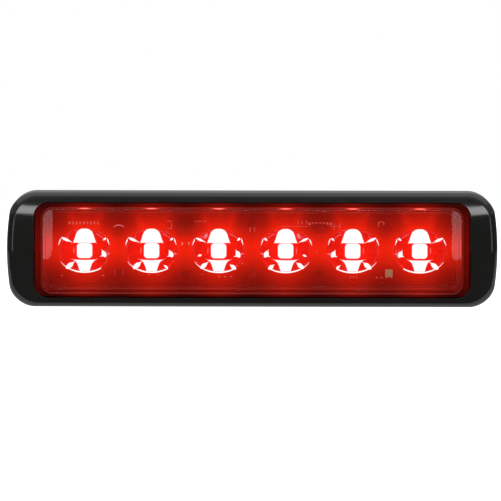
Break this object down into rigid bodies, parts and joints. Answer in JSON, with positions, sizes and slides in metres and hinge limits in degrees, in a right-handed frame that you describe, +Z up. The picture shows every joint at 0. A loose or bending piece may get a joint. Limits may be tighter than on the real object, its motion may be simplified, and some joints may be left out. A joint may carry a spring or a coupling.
{
  "type": "third brake light",
  "caption": "Slim surface-mounted LED third brake light: clear rounded cover over a row of oval optics, black press-on bezel hiding the screws, foam gasket behind.",
  "frame": {"origin": "centre of the foam gasket's rear face, which lies against the car's body panel", "axes": "+X along the lamp, +Z up, -Y the way the lamp shines, +Y into the car's body panel"},
  "size_m": [0.13, 0.029, 0.0304],
  "materials": {
    "bezel_plastic": "smooth, half-gloss",
    "base_plastic": "fine moulded grain",
    "clear_cover": "polished clear polycarbonate",
    "seal_rubber": "matt",
    "gasket_foam": "closed-cell foam",
    "spreader_aluminium": "rolled",
    "thermal_pad": "soft, matt",
    "board_laminate": "solder resist, satin",
    "led_ceramic": "satin",
    "led_silicone": "clear silicone",
    "optic_acrylic": "polished clear acrylic",
    "screw_steel": "passivated stainless",
    "washer_fibre": "matt",
    "board_screw_steel": "zinc plated",
    "gland_rubber": "matt",
    "eyelet_brass": "tinned",
    "chip_plastic": "moulded",
    "diode_plastic": "moulded",
    "capacitor_ceramic": "satin",
    "resistor_ceramic": "glazed"
  },
  "bodies": {
    "lamp_body": {"mounting_gasket": "gasket_foam", "base_housing": "base_plastic", "lens_seal": "seal_rubber", "lens_cover": "clear_cover", "heat_spreader": "spreader_aluminium", "thermal_pad": "thermal_pad", "circuit_board": "board_laminate", "led_package_1": "led_ceramic", "led_package_2": "led_ceramic", "led_package_3": "led_ceramic", "led_package_4": "led_ceramic", "led_package_5": "led_ceramic", "led_package_6": "led_ceramic", "led_dome_1": "led_silicone", "led_dome_2": "led_silicone", "led_dome_3": "led_silicone", "led_dome_4": "led_silicone", "led_dome_5": "led_silicone", "led_dome_6": "led_silicone", "optic_1": "optic_acrylic", "optic_2": "optic_acrylic", "optic_3": "optic_acrylic", "optic_4": "optic_acrylic", "optic_5": "optic_acrylic", "optic_6": "optic_acrylic", "mounting_screws": "screw_steel", "screw_washers": "washer_fibre", "board_screws": "board_screw_steel", "cable_gland": "gland_rubber", "wire_eyelets": "eyelet_brass", "driver_chip": "chip_plastic", "input_diode": "diode_plastic", "capacitors": "capacitor_ceramic", "resistors": "resistor_ceramic"},
    "bezel": {"bezel": "bezel_plastic"}
  },
  "joints": [
    {"name": "bezel_pull", "type": "slide", "parent": "lamp_body", "child": "bezel", "axis": [0, -1, 0], "range_m": [0, 0.02]}
  ]
}
